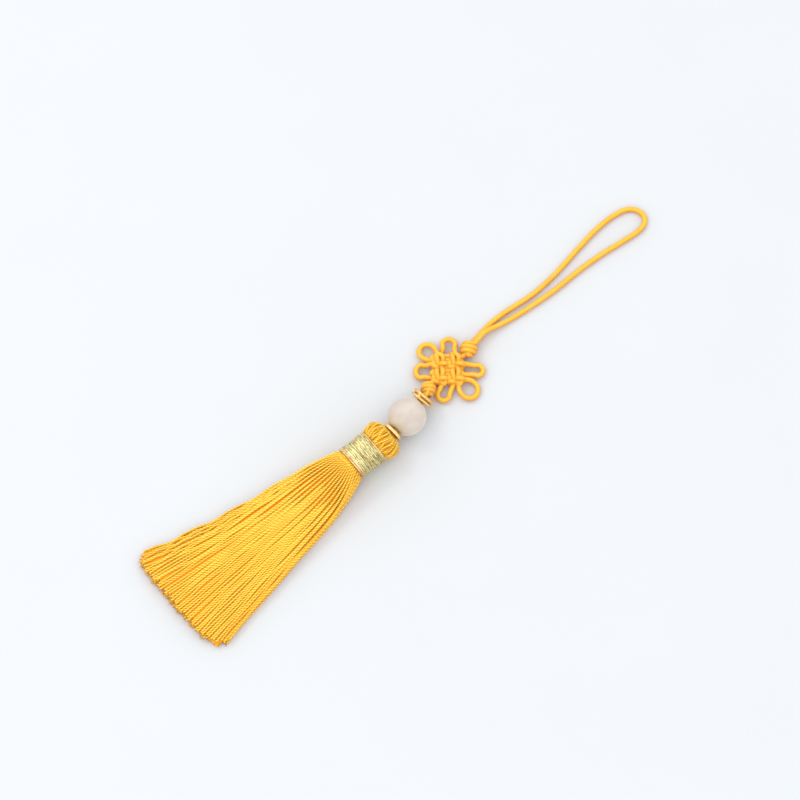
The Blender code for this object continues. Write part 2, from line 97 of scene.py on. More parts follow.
# Head threads differ in slant and wander (radians), in lift, shift along and lump, and in tone
HEAD_SLANTS = (-0.08, 0.26)
HEAD_LIFTS = (-0.16, 0.14)
HEAD_SHIFTS = (-0.14, 0.10)
HEAD_WANDER = 0.075
HEAD_LUMP = 0.17
HEAD_TONES = (0.7, 1.12)
HEAD_LAYER_DROP = 0.28
HEAD_LAYER_SHADE = 0.3
BAND_START = 47.1
BAND_END = 53.15
BAND_R = 3.62
BAND_SLEEVE_R = (3.30, 3.52)
BAND_SLEEVE_INSET = 0.1
BAND_WIRE_R = 0.172
BAND_WIRE_SIDES = 8
BAND_PITCH = 0.37
BAND_WINDING_INSET = 0.30
BAND_TURN_POINTS = 44
BAND_WOBBLES = (
    # size, waves a turn, phase
    (0.05, 0.31, 0.0), (0.03, 1.7, 1.0),
)
BAND_LUMPS = (0.018, 2.3)
BAND_EDGES = (
    # x     slant  height  radius
    (47.22, 0.0,   0.09,   0.15),
    (47.60, 0.0,   0.09,   0.15),
    (50.30, 0.42,  0.14,   0.10),
    (53.00, 0.0,   0.09,   0.15),
)
BAND_EDGE_POINTS = 60
# Foil colours (bright, dull): bright for the painted glints, dull for the painted dark specks.
BAND_FOIL_AND_GLINTS = ((1.0, 0.92, 0.50), (0.28, 0.165, 0.010))
BAND_EDGE_FOIL_AND_GLINTS = ((1.0, 0.74, 0.40), (0.62, 0.36, 0.12))

# Pieces threaded on the doubled cord
BEAD_R = 4.0
BEAD_CENTRE = (62.26, 0.80, 4.00)
BEAD_YAW = 11.5
BEAD_PITCH = -2.5
BORE_R = 0.95
CAP_OFFSET = -4.50
CAP_YAW = 5.0
CAP_PITCH = 8.0
CAP_R = 2.2
CAP_BORE_R = 1.15
CAP_HALF = 0.38
CAP_CORNER = 0.25
CAP_HOLLOW_R = 0.8
CAP_GOLD = ((0.86, 0.52, 0.16), (1.0, 0.74, 0.37))
RING_YAW = 8.8
RING_PITCH = 16.8
RING_R = 2.55
RING_BORE_R = 1.40
RING_HALF = 0.72
RING_GROOVE = 0.42
RING_FLOOR_HALF = 0.14
RING_RIM = 0.29
RING_GOLD = ((0.80, 0.43, 0.11), (0.98, 0.65, 0.28))

# Pan chang knot: four pairs of lines each way, woven in three layers
KNOT_CENTRE = (76.0, 4.27, 1.38)
KNOT_YAW = -39.6
PAIR_PITCH = 1.62
LINE_SPLIT = 0.42
STACK_SPLIT = 0.20
LAYER = 0.80
TURN_REACH = 0.85
EAR_REACH = 0.80
EAR_SWELL = 0.80
EDGE_FLATTEN = 0.80
EARS = (
    # name            tip_x  tip_y  half_width  widest  leave  enter  sag
    ("top",            0.26,  7.27, 1.36, 0.60,  1.60, -1.25, 0.30),
    ("top_left",      -5.84,  5.38, 1.66, 0.53, -2.05,  1.85, 0.45),
    ("left",          -7.05, -0.30, 1.45, 0.60,  0.95, -1.95, 0.40),
    ("right",          7.74, -0.20, 1.18, 0.68,  1.30, -1.15, 0.55),
    ("bottom_right",   6.05, -6.00, 1.86, 0.53, -2.10,  2.10, 0.68),
    ("bottom",        -1.42, -7.08, 1.26, 0.62,  1.10, -1.20, 0.68),
)
EAR_ANGLES = (118, 76, 38, 0, -38, -76, -118)
CORD_COURSES = (
    # cord  pairs: axis, number, ear
    ("A", (("V", 1, "top"), ("V", 3, "top_left"), ("H", 2, "left"), ("H", 4, None))),
    ("B", (("H", 1, "right"), ("H", 3, "bottom_right"), ("V", 2, "bottom"), ("V", 4, None))),
)
LEAD_REACH = 0.6
LEAD_ASIDE = 0.4

# Small round knots above and below the pan chang; the yaw is across their parallel wraps
SMALL_KNOTS = (
    # name         x      y     z     yaw   pitch  radius  flatness
    ("top_knot",    82.15, 4.96, 1.56, 33.0, 0.0, 1.85, 0.80),
    ("bottom_knot", 69.85, 3.10, 2.40, 46.0, -10.0, 1.62, 0.88),
)
WRAP_PITCH = 0.84
WRAP_R = 0.47
WRAP_SWELL = 0.02
WRAP_SHARES = (0.70, 0.98, 1.0, 0.74)
WRAP_TURNS = 3.6
WRAP_LAG = 0.3
WRAP_POINTS = 12
KNOT_CORE_X = (-1.35, -0.5, 0.5, 1.35)
KNOT_CORE_R = 0.62
KNOT_CORE_FITS_R = 1.7
LEG_DEPTH = 0.55
LEG_STRAIGHT = 0.7

# Doubled cord from the bottom knot to the tassel head
CORE_ROUTE = (
    # x      y      z
    (57.25, -0.22, 4.22),
    (58.40, 0.02, 4.17),
    (62.26, 0.80, 4.00),
    (66.20, 1.60, 3.83),
    (67.40, 1.89, 3.74),
    (68.45, 2.24, 3.64),
    (69.55, 2.76, 3.05),
    (70.52, 3.27, 2.30),
)
RING_PLACE = 4
DOUBLED_CORD_R = 0.42
DOUBLED_OFFSET = 0.40
DOUBLED_TWIST = 0.35

# Hanging loop, from the top knot out along one leg and back along the other
LOOP_ROUTE = (
    # x      y     z
    (84.62, 5.86, 0.95),
    (87.00, 6.36, 0.61),
    (89.60, 6.68, 0.56),
    (92.60, 6.74, 0.56),
    (95.60, 6.50, 0.56),
    (100.00, 6.15, 0.56),
    (105.00, 6.45, 0.56),
    (110.00, 7.25, 0.56),
    (114.50, 8.12, 0.56),
    (119.50, 8.88, 0.56),
    (124.00, 9.02, 0.56),
    (127.20, 8.40, 0.56),
    (128.85, 6.80, 0.56),
    (129.10, 4.95, 0.56),
    (127.90, 3.55, 0.56),
    (125.60, 3.12, 0.56),
    (122.00, 3.42, 0.56),
    (117.00, 3.95, 0.56),
    (111.00, 4.18, 0.56),
    (104.50, 4.02, 0.56),
    (98.00, 4.34, 0.56),
    (93.50, 4.78, 0.58),
    (90.60, 5.20, 0.86),
    (87.20, 5.66, 1.58),
    (84.58, 5.15, 1.96),
)

# The bundle of threads at stations along the skirt, from the neck to the cut end.  Its long
# edges on the sides of -Y and +Y bow in by the edge bows, halfway to their reach.
SKIRT = (
    # x     half_width  bottom  top   roundness
    (47.4,  2.80, 1.25, 6.85, 1.00),
    (46.7,  3.62, 0.43, 7.67, 1.00),
    (45.8,  4.12, 0.20, 7.60, 0.95),
    (42.5,  5.25, 0.00, 6.20, 0.45),
    (38.5,  6.30, 0.00, 4.90, 0.12),
    (33.0,  7.45, 0.00, 3.90, 0.00),
    (24.0,  9.25, 0.00, 3.05, 0.00),
    (12.0, 11.60, 0.00, 2.40, 0.00),
    (5.0,  13.00, 0.00, 2.15, 0.00),
    (0.0,  14.05, 0.00, 2.05, 0.00),
)
SKIRT_TOP_X = 47.6
SKIRT_END_X = 0.6
SKIRT_END_BOW = 2.4
SKIRT_END_SLANT = 0.8
SKIRT_RAGGED = 0.45
SKIRT_EDGE_DROP = 0.30
EDGE_BOW_REACH = 40.0
EDGE_BOWS = (0.2, 0.95)
THREAD_COLUMNS = 45
# The tone column is painted shade: deeper layers get lower tones, which the thread finish turns deep
# orange.
THREAD_LAYERS = (
    # name     level  sides  gap   tone  first and end column and name's ending of each piece
    ("lower",  -1.0,  6,     0.35, 0.45, ((0, 45, ""),)),
    ("middle",  0.3,  12,    0.30, 0.75, ((0, 45, ""),)),
    ("upper",   1.0,  12,    0.15, 1.0,  ((0, 22, "_a"), (22, 45, "_b"))),
)
EDGE_COLUMNS = 2
EDGE_SIDES = 12
EDGE_GAP = 0.15
NECK_COLUMNS = 15
NECK_DEPTH = 9
THREAD_R = 0.31
THREAD_TONES = (0.3, 1.0)
THREAD_STEPS = 64
TABLE_GAP = 0.05
PLIES = 3
PLY_R = 0.165
PLY_OUT = 0.135
TWIST_LENGTH = 2.3
HEAD_TWIST_LENGTH = 1.5
END_SWELL = 0.12
END_SWELL_POINTS = 8
EDGE_TURN = 0.9
# How threads go out of line: over how much of the skirt they spread, and waves in mm or shares
SPREADS = (12.0, 36.0)
OPENING = 20.0
SWAY = 0.014
EDGE_SWAY = 0.030
EDGE_SWAY_FULL = 0.8
SWAY_LENGTHS = (9.0, 26.0)
CRIMP = 0.12
CRIMP_START = 0.45
CRIMP_GROWTH = 0.4
CRIMP_FADE = 8.0
CRIMP_LENGTHS = (2.6, 4.5)
THREAD_LIFT = 0.10
CLUMP_RIDE = 0.10
CLUMP_SIZES = (1, 2, 3, 4, 5, 7)
CLUMP_PULLS = (0.02, 0.05, 0.10, 0.14, 0.20)
CLUMP_DRIFT = 0.022
DRIFT_LENGTHS = (14.0, 40.0)
# Loose fibres at each cut end: where they start, how far apart, and their two stretches
FRAY_HAIRS = 5
HAIR_R = 0.035
HAIR_SCALE = (1.0, 0.8, 0.3)
HAIR_ROOT = 0.15
HAIR_APART = 0.14
HAIR_MIDDLES = (0.20, 0.32)
HAIR_MIDDLE_ASIDE = 0.06
HAIR_TIPS = (0.10, 0.26)
HAIR_TIPS_ASIDE = (0.05, 0.20)
HAIR_TONE = 0.9
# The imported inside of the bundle, as shares of its width and height
UNDERLAY_START = 46.0
UNDERLAY_STEP = 0.9
UNDERLAY_POINTS = 50
UNDERLAY_SIDES = 24
UNDERLAY_WIDTH = 0.93
UNDERLAY_MIDDLE = 0.34
UNDERLAY_HEIGHT = 0.52

rng = random.Random(11)


def place(x, y, z):
    """A table's millimetres as a point in metres."""
    return Vector((x - ORIGIN_X, y, z)) * MM


def turned(centre, yaw, pitch=0.0):
    """Matrix of an axis along +X, turned up by pitch and round by yaw, at a table point."""
    turn = Matrix.Rotation(math.radians(yaw), 4, "Z") @ Matrix.Rotation(math.radians(-pitch), 4, "Y")
    return Matrix.Translation(place(*centre)) @ turn


def leaning():
    """Matrix of the tassel's axis, with upright rings leaning back."""
    lean = Matrix.Identity(4)
    lean[0][2] = -math.tan(math.radians(LEAN))
    return turned((0.0, 0.0, AXIS_Z), 0.0) @ lean


def leaned(spot):
    """A point of the tassel in table millimetres, moved back as its leaning ring does."""
    share = max(0.0, min(1.0, 1.0 - (NECK_START - spot.x) / LEAN_FADE))
    spot.x -= math.tan(math.radians(LEAN)) * share * (spot.z - AXIS_Z)
    return spot


def smooth_route(points, steps):
    """Catmull-Rom curve through the points, with the given steps between neighbours."""
    points = [Vector(p) for p in points]
    padded = [2 * points[0] - points[1], *points, 2 * points[-1] - points[-2]]
    route = []
    for a, b, c, d in zip(padded, padded[1:], padded[2:], padded[3:]):
        for step in range(steps):
            t = step / steps
            bend = (2 * a - 5 * b + 4 * c - d) * t * t + (3 * b - a - 3 * c + d) * t ** 3
            route.append(b + ((c - a) * t + bend) / 2)
    route.append(points[-1])
    return route


def even_route(points, gap, steps=12):
    """The smooth curve through the points, read again at even distances of about the gap."""
    dense = smooth_route(points, steps)
    reach = [0.0]
    for a, b in zip(dense, dense[1:]):
        reach.append(reach[-1] + (b - a).length)
    count = max(2, round(reach[-1] / gap))
    route = []
    k = 0
    for i in range(count + 1):
        wanted = reach[-1] * i / count
        while k < len(dense) - 2 and reach[k + 1] < wanted:
            k += 1
        share = (wanted - reach[k]) / (reach[k + 1] - reach[k])
        route.append(dense[k].lerp(dense[k + 1], min(1.0, share)))
    return route


def ease(t):
    """Smooth rise from 0 to 1 as t goes from 0 to 1."""
    t = max(0.0, min(1.0, t))
    return t * t * (3 - 2 * t)


# ---------------------------------------------------------------- camera, table and light

def look_at(item, spot, target):
    item.location = spot
    item.rotation_euler = (target - spot).to_track_quat("-Z", "Y").to_euler()


def set_camera():
    camera = bpy.data.objects.new("camera", bpy.data.cameras.new("camera"))
    bpy.context.scene.collection.objects.link(camera)
    camera.data.lens = VIEW_LENS
    camera.data.clip_start = 0.01
    azimuth = math.radians(VIEW_AZIMUTH)
    elevation = math.radians(VIEW_ELEVATION)
    level = math.cos(elevation)
    looking = Vector((math.sin(azimuth) * level, math.cos(azimuth) * level, -math.sin(elevation)))
    target = place(*VIEW_CENTRE)
    look_at(camera, target - looking * VIEW_DISTANCE * MM, target)
    bpy.context.scene.camera = camera


# ---------------------------------------------------------------- finishes

class Amount:
    """A number that varies over a surface; sums and products of it add their nodes."""

    def __init__(self, finish, socket):
        self.finish = finish
        self.socket = socket

    def __add__(self, other):
        return self.finish.maths("ADD", self, other)

    def __radd__(self, other):
        return self.finish.maths("ADD", other, self)

    def __sub__(self, other):
        return self.finish.maths("SUBTRACT", self, other)

    def __rsub__(self, other):
        return self.finish.maths("SUBTRACT", other, self)

    def __mul__(self, other):
        return self.finish.maths("MULTIPLY", self, other)

    def __truediv__(self, other):
        return self.finish.maths("DIVIDE", self, other)

    def wave(self):
        """Cosine wave from 0 to 1 with its crest at whole numbers."""
        return self.finish.maths("COSINE", self * math.tau) * 0.5 + 0.5

    def whole(self):
        return self.finish.maths("FLOOR", self)

    def part(self):
        return self.finish.maths("FRACT", self)

    def between(self, low, high):
        """0 below low, 1 above high, eased between them."""
        node = self.finish.node(
            "ShaderNodeMapRange",
            {"interpolation_type": "SMOOTHSTEP"},
            {"Value": self, "From Min": low, "From Max": high},
        )
        return Amount(self.finish, node.outputs["Result"])


class Finish:
    """One procedural material on a Principled shader."""

    def __init__(self, name, **constants):
        self.material = bpy.data.materials.new(name)
        self.material.use_nodes = True
        self.tree = self.material.node_tree
        self.shader = self.tree.nodes["Principled BSDF"]
        for socket, value in constants.items():
            self.shader.inputs[self.socket_name(socket)].default_value = value

    @staticmethod
    def socket_name(key):
        return key.replace("_", " ").title().replace("Ior", "IOR")

    def node(self, kind, settings=None, sockets=None):
        node = self.tree.nodes.new(kind)
        for key, value in (settings or {}).items():
            setattr(node, key, value)
        for key, value in (sockets or {}).items():
            self.feed(node.inputs[key], value)
        return node

    def feed(self, socket, value):
        if isinstance(value, Amount):
            value = value.socket
        if isinstance(value, bpy.types.NodeSocket):
            self.tree.links.new(value, socket)
        elif socket.type == "RGBA" and len(value) == 3:
            socket.default_value = (*value, 1.0)
        else:
            socket.default_value = value

    def maths(self, operation, *values):
        node = self.node("ShaderNodeMath", {"operation": operation}, dict(enumerate(values)))
        return Amount(self, node.outputs[0])

    def surface(self):
        """Distance along the piece in millimetres and share of the way round it."""
        uv = self.node("ShaderNodeUVMap", {"uv_map": "UVMap"}).outputs["UV"]
        split = self.node("ShaderNodeSeparateXYZ", sockets={"Vector": uv})
        return Amount(self, split.outputs["X"]), Amount(self, split.outputs["Y"])

    def attribute(self, name):
        node = self.node("ShaderNodeAttribute", {"attribute_name": name})
        return Amount(self, node.outputs["Fac"])

    def vector(self, x, y, z=0.0):
        return self.node("ShaderNodeCombineXYZ", sockets={"X": x, "Y": y, "Z": z}).outputs[0]

    def object_place(self):
        return self.node("ShaderNodeTexCoord").outputs["Object"]

    def noise(self, vector, scale, detail=2.0, rough=0.5):
        sockets = {"Vector": vector, "Scale": scale, "Detail": detail, "Roughness": rough}
        return Amount(self, self.node("ShaderNodeTexNoise", sockets=sockets).outputs["Fac"])

    def mixed(self, share, first, second):
        node = self.node("ShaderNodeMix", {"data_type": "RGBA"}, {0: share, 6: first, 7: second})
        return node.outputs[2]

    def bump(self, height, strength, distance):
        sockets = {"Height": height, "Strength": strength, "Distance": distance * MM}
        return self.node("ShaderNodeBump", sockets=sockets).outputs["Normal"]

    def finish(self, **varying):
        for socket, value in varying.items():
            self.feed(self.shader.inputs[self.socket_name(socket)], value)
        return self.material


def silky_thread():
    """Twisted silky thread: painted highlights on ply crests and tops, painted shade in the hollows
    and on deeper layers, and fine fibres along each ply.
    """
    silk = Finish("silky_thread", sheen_weight=0.15, sheen_roughness=0.4, specular_ior_level=0.4)
    along, around = silk.surface()
    # The ply crests get painted highlight and the hollows between the plies get painted shade.
    crest = (around * PLIES).wave()
    fibres = silk.noise(silk.vector(along * 1.3 + around * 4, around * 18), 1.0)
    tone_and_depth_shade = silk.attribute("tone_and_depth_shade")
    patches = silk.noise(silk.object_place(), 260.0)
    rise = silk.attribute("rise")
    # light is painted highlight on the crests and on the tops (rise), mixed with real fibres and
    # patches.
    light = (crest * 0.55 + rise * 0.75 + fibres * 0.2 + patches * 0.2).between(0.72, 1.52)
    plies = silk.mixed(light, (0.68, 0.285, 0.003), (0.97, 0.74, 0.070))
    # deep is painted shade: strands of low tone, which the deeper layers have, turn orange, less so
    # on the crests.
    deep = (1 - tone_and_depth_shade).between(0.55, 0.85) * (1 - crest * 0.4)
    colour = silk.mixed(deep, plies, (0.95, 0.33, 0.003))
    rough = 0.62 - light * 0.18
    normal = silk.bump(fibres * 0.4 + crest * 0.6, 0.4, 0.05)
    return silk.finish(base_color=colour, roughness=rough, normal=normal)


def braided_cord():
    """Round braid: two sets of fine strands that cross over and under each other, with painted shade
    between the strands and on the sides and painted light on the top.
    """
    braid = Finish("braided_cord", sheen_weight=0.15, sheen_roughness=0.4, specular_ior_level=0.4)
    along, around = braid.surface()
    forward = along / BRAID_LENGTH + around * BRAID_STRANDS
    backward = along / BRAID_LENGTH - around * BRAID_STRANDS
    over = ((forward.whole() + backward.whole()) * 0.5).part() * 2
    strand_forward = braid.maths("SINE", forward.part() * math.pi)
    strand_backward = braid.maths("SINE", backward.part() * math.pi)
    upper = strand_forward * (0.55 + strand_backward * 0.45)
    lower = strand_backward * (0.55 + strand_forward * 0.45)
    height = upper * (1 - over) + lower * over
    fibres = braid.noise(braid.vector(along * 5, around * 30), 1.0, 2.0, 0.6)
    patches = braid.noise(braid.object_place(), 300.0)
    rise = braid.attribute("rise")
    # Painted shade and light: recesses of the braid and the cord's sides turn orange, raised strands
    # and the top turn yellow.
    light = (height * 0.7 + fibres * 0.2 + patches * 0.3 + rise * 0.5).between(0.45, 1.35)
    colour = braid.mixed(light, (0.84, 0.27, 0.006), (0.93, 0.60, 0.05))
    rough = 0.6 - light * 0.15
    normal = braid.bump(height + fibres * 0.2, 0.9, 0.06)
    return braid.finish(base_color=colour, roughness=rough, normal=normal)


def painted_shade_and_glow():
    """Painted deep orange shade between the threads, with a faint painted orange glow."""
    # The emission is a faint painted orange glow, in place of light passing through the silk.
    deep = Finish("painted_shade_and_glow", specular_ior_level=0.2, emission_strength=0.18)
    deep.shader.inputs["Emission Color"].default_value = (1.0, 0.26, 0.004, 1.0)
    grain = deep.noise(deep.object_place(), 1400.0, 3.0, 0.6)
    colour = deep.mixed(grain, (0.88, 0.26, 0.004), (1.0, 0.46, 0.012))
    normal = deep.bump(grain, 0.6, 0.1)
    return deep.finish(base_color=colour, roughness=0.8 - grain * 0.1, normal=normal)


def metallic_thread(name, bright, dull):
    """Foil-covered thread, with painted glints and painted dark specks in short dashes along it."""
    foil = Finish(name, metallic=1.0, specular_ior_level=0.5)
    along, around = foil.surface()
    streaks = foil.noise(foil.vector(along * 0.4, around), 1.0, 1.0, 0.5)
    dashes = foil.noise(foil.vector(along * 1.8, around * 3), 1.0, 2.0, 0.7)
    facets = foil.noise(foil.vector(along * 7.0 + around * 2, around * 6), 1.0, 2.0, 0.7)
    # Painted glints and painted dark specks in dashes along the thread.
    light = (streaks * 0.4 + dashes * 0.5 + facets * 0.3).between(0.42, 0.72)
    colour = foil.mixed(light, dull, bright)
    rough = 0.46 - light * 0.20
    normal = foil.bump(facets + dashes * 0.5, 0.8, 0.05)
    return foil.finish(base_color=colour, roughness=rough, normal=normal)


def polished_gold(name, hollow_r, deep, bright):
    """Plated metal, darker in patches in its hollow, with faint turning lines."""
    gold = Finish(name, metallic=1.0, specular_ior_level=0.5)
    spot = gold.object_place()
    smears = gold.noise(spot, 900.0, 3.0, 0.6)
    away, around = gold.surface()
    patchy = gold.noise(spot, 700.0, 1.0, 0.5).between(0.35, 0.6)
    darker_in_hollow = (1 - away.between(hollow_r, hollow_r + 0.2)) * (0.35 + patchy * 0.65)
    lines = gold.noise(gold.vector(around * 2, away * 40), 1.0, 2.0, 0.5)
    base = gold.mixed(smears, deep, bright)
    colour = gold.mixed(darker_in_hollow * 0.85, base, (0.20, 0.14, 0.03))
    rough = 0.10 + smears * 0.08 + darker_in_hollow * 0.12
    normal = gold.bump(lines, 0.08, 0.02)
    return gold.finish(base_color=colour, roughness=rough, normal=normal)


def frosted_glass():
    """Milky stone-like glass: soft clouds inside, a paler skin, painted shade on its +Y side and
    painted warm light at both holes.
    """
    glass = Finish(
        "frosted_glass", subsurface_weight=0.85, subsurface_scale=0.005,
        sheen_weight=0.5, sheen_roughness=0.35, specular_ior_level=0.3,
    )
    glass.shader.inputs["Subsurface Radius"].default_value = (1.0, 0.9, 0.85)
    spot = glass.object_place()
    centre = place(*BEAD_CENTRE)
    axis = turned(BEAD_CENTRE, BEAD_YAW, BEAD_PITCH).to_3x3() @ Vector((1.0, 0.0, 0.0))
    offset = glass.node("ShaderNodeVectorMath", {"operation": "SUBTRACT"}, {0: spot, 1: centre})
    dot = glass.node("ShaderNodeVectorMath", {"operation": "DOT_PRODUCT"},
                     {0: offset.outputs[0], 1: axis})
    along = Amount(glass, dot.outputs["Value"]) / (BEAD_R * MM)
    clouds = glass.noise(spot, 330.0, 2.0, 0.45)
    fine = glass.noise(spot, 5200.0, 3.0, 0.6)
    clear = glass.mixed(clouds.between(0.35, 0.65), (0.54, 0.47, 0.41), (0.60, 0.525, 0.46))
    # Painted shade: the bead is darker towards +Y, the side that faces the key lamp.
    sideways = glass.node("ShaderNodeSeparateXYZ", sockets={"Vector": offset.outputs[0]})
    deep = (Amount(glass, sideways.outputs["Y"]) / (BEAD_R * MM)).between(-0.1, 0.9)
    base = glass.mixed(deep, clear, (0.46, 0.40, 0.36))
    # Painted warm light near both holes, where the yellow cord lies inside.
    near_hole = along.between(0.55, 1.0) * 0.9 + (0 - along).between(0.70, 1.0) * 0.7
    colour = glass.mixed(near_hole, base, (0.66, 0.50, 0.24))
    normal = glass.bump(fine, 0.12, 0.02)
    return glass.finish(base_color=colour, roughness=0.52 + clouds * 0.1, normal=normal)


def table_top():
    pale = Finish("table_top", specular_ior_level=0.2)
    grain = pale.noise(pale.object_place(), 40.0, 3.0)
    colour = pale.mixed(grain, (0.640, 0.648, 0.655), (0.655, 0.662, 0.670))
    return pale.finish(base_color=colour, roughness=0.8 + grain * 0.05)


# ---------------------------------------------------------------- pieces in the making

class Piece:
    """A bmesh with a UV map (millimetres along, share of the way round).

    Each point also has its strand's tone, which holds painted shade for deeper layers, and its rise,
    1 on the strand's top and 0 on its sides, which the finishes use to paint the tops lighter.
    """

    def __init__(self):
        self.bm = bmesh.new()
        self.uv = self.bm.loops.layers.uv.new("UVMap")
        self.tone_and_depth_shade = self.bm.verts.layers.float.new("tone_and_depth_shade")
        self.rise = self.bm.verts.layers.float.new("rise")

    def tube(self, route, radii, turns=None, tone_and_depth_shade=0.5, scale=None, outward=None):
        """Wraps a grid round a route in millimetres.

        The radii give the section, turns the section's angle at each point of the route, scale
        its size there and outward the way to the bundle's outside from a point.
        """
        sides = len(radii)
        last = len(route) - 1
        grid = bmesh.ops.create_grid(self.bm, x_segments=last, y_segments=sides, size=0.5)["verts"]
        reach = [0.0]
        for a, b in zip(route, route[1:]):
            reach.append(reach[-1] + (b - a).length)
        places = {}
        rings = [[None] * (sides + 1) for _ in route]
        for vert in grid:
            i = round((vert.co.x + 0.5) * last)
            j = round((vert.co.y + 0.5) * sides)
            rings[i][j] = vert
            places[vert] = (reach[i], j / sides)
            vert[self.tone_and_depth_shade] = tone_and_depth_shade
        ahead = (route[1] - route[0]).normalized()
        side = ahead.orthogonal().normalized()
        for i, point in enumerate(route):
            step = (route[min(i + 1, last)] - route[max(i - 1, 0)]).normalized()
            side = ahead.rotation_difference(step) @ side
            ahead = step
            other = ahead.cross(side)
            start = turns[i] if turns else 0.0
            size = scale[i] if scale else 1.0
            centre = place(*point)
            above = outward(point).normalized() if outward else UP
            for j, vert in enumerate(rings[i]):
                angle = start - math.tau * j / sides
                out = side * math.cos(angle) + other * math.sin(angle)
                vert.co = centre + out * (radii[j % sides] * size * MM)
                vert[self.rise] = max(0.0, out.dot(above)) ** 2
        for face in {face for vert in grid for face in vert.link_faces}:
            for loop in face.loops:
                loop[self.uv].uv = places[loop.vert]
        bmesh.ops.weld_verts(self.bm, targetmap={ring[sides]: ring[0] for ring in rings})
        for ring in (rings[0], rings[-1]):
            bmesh.ops.contextual_create(self.bm, geom=ring[:sides])

    def spun(self, profile, segments, matrix, tone_and_depth_shade=0.5):
        """Spins an (x, radius) profile in millimetres about the matrix's X axis."""
        bm = self.bm
        old = set(bm.verts)
        verts = [bm.verts.new(Vector((x, 0.0, radius)) * MM) for x, radius in profile]
        edges = [bm.edges.new(pair) for pair in zip(verts, verts[1:])]
        if profile[0][1] > 0 and profile[-1][1] > 0:
            edges.append(bm.edges.new((verts[-1], verts[0])))
        bmesh.ops.spin(bm, geom=verts + edges, cent=(0, 0, 0), axis=(1, 0, 0), angle=math.tau,
                       steps=segments, use_merge=True, use_duplicate=False)
        new = [vert for vert in bm.verts if vert not in old]
        bmesh.ops.remove_doubles(bm, verts=new, dist=1e-7)
        new = [vert for vert in bm.verts if vert not in old]
        faces = {face for vert in new for face in vert.link_faces}
        for face in faces:
            for loop in face.loops:
                spot = loop.vert.co
                share = math.atan2(spot.y, spot.z) / math.tau
                loop[self.uv].uv = (math.hypot(spot.y, spot.z) / MM, share)
        for vert in new:
            vert[self.tone_and_depth_shade] = tone_and_depth_shade
        bmesh.ops.transform(bm, matrix=matrix, verts=new)

    def done(self, name, material, slot, *nodes, sharp=None):
        """Makes the piece an object that rides on the body and stands for the nodes."""
        bmesh.ops.recalc_face_normals(self.bm, faces=self.bm.faces)
        mesh = bpy.data.meshes.new(name)
        self.bm.to_mesh(mesh)
        self.bm.free()
        mesh.materials.append(material)
        mesh.shade_smooth()
        if sharp:
            mesh.set_sharp_from_angle(angle=math.radians(sharp))
        item = bpy.data.objects.new(name, mesh)
        bpy.context.scene.collection.objects.link(item)
        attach(item, "root")
        if nodes:
            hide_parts(*nodes)
        return item


def ribbed(route, radius):
    """Sizes along a cord that rise and fall a little with its braid."""
    sizes = []
    travelled = 0.0
    for k, point in enumerate(route):
        if k:
            travelled += (point - route[k - 1]).length
        sizes.append(radius + RIB_DEPTH * radius * math.cos(math.tau * travelled / RIB_PITCH))
    return sizes


def arc(centre_x, centre_r, radius, start, end, steps):
    """(x, radius) points on an arc, with angles in degrees from +X towards larger radius."""
    points = []
    for i in range(steps + 1):
        angle = math.radians(start + (end - start) * i / steps)
        points.append((centre_x + radius * math.cos(angle), centre_r + radius * math.sin(angle)))
    return points


# ---------------------------------------------------------------- hanging loop

def make_loop(cord):
    route = even_route(LOOP_ROUTE, CORD_STEP)
    loop = Piece()
    loop.tube(route, [1.0] * CORD_SIDES, scale=ribbed(route, CORD_R))
    item = loop.done("loop_cord", cord, "yellow_cord", "hanging_loop")
    length = sum((b - a).length for a, b in zip(route, route[1:]))
    path = [place(*point) for point in route]


# ---------------------------------------------------------------- pan chang and small knots

def pair_place(number):
    return (2.5 - number) * PAIR_PITCH


def knot_line(axis, number, first):
    """Crossings of one line of a pair, from the positive side to the negative.

    Odd uprights and even rows are cord A, the others are cord B.  Every upright pair holds the
    B rows between its two lines.  The A rows hold the A uprights between theirs, and the B
    uprights pass over the first line of an A row and under its second line.
    """
    side = 1 if first else -1
    odd = number % 2 == 1
    points = []
    for crossing in (1, 2, 3, 4):
        odd_crossing = crossing % 2 == 1
        steps = [(0.0, 0.0)]
        stacked = odd_crossing and (axis == "V" or not odd)
        if stacked:
            steps = [(0.0, -side if axis == "V" and odd else side)]
        elif axis == "H" and not odd:
            steps = [(0.0, -0.5 * side)]
        elif axis == "V" and not odd:
            steps = [(LINE_SPLIT, 0.5), (-LINE_SPLIT, -0.5)]
        offset = pair_place(number) + side * (STACK_SPLIT if stacked else LINE_SPLIT)
        for ahead, level in steps:
            along = pair_place(crossing) + ahead
            spot = (offset, along) if axis == "V" else (along, offset)
            points.append(Vector((*spot, level * LAYER)))
    return points


def beyond(points, reach, aside=None):
    """A point past a line's last pair by the reach, straight on or at the given place aside."""
    step = points[-1] - points[-2]
    way = 0 if abs(step.x) > abs(step.y) else 1
    past = points[-1].copy()
    past[way] = math.copysign(pair_place(1) + reach, step[way])
    if aside is not None:
        past[1 - way] = aside
    past.z *= EDGE_FLATTEN
    return past


def knot_pair(cord, axis, number):
    """A pair's points, out along one line, round its tight turn and back along the other."""
    starts_positive = (cord == "A") == (axis == "V")
    out = knot_line(axis, number, True)
    back = knot_line(axis, number, False)
    if starts_positive:
        back.reverse()
    else:
        out.reverse()
    turn = (beyond(out, TURN_REACH) + beyond([back[1], back[0]], TURN_REACH)) / 2
    turn.z = 0.0
    return out + [turn] + back


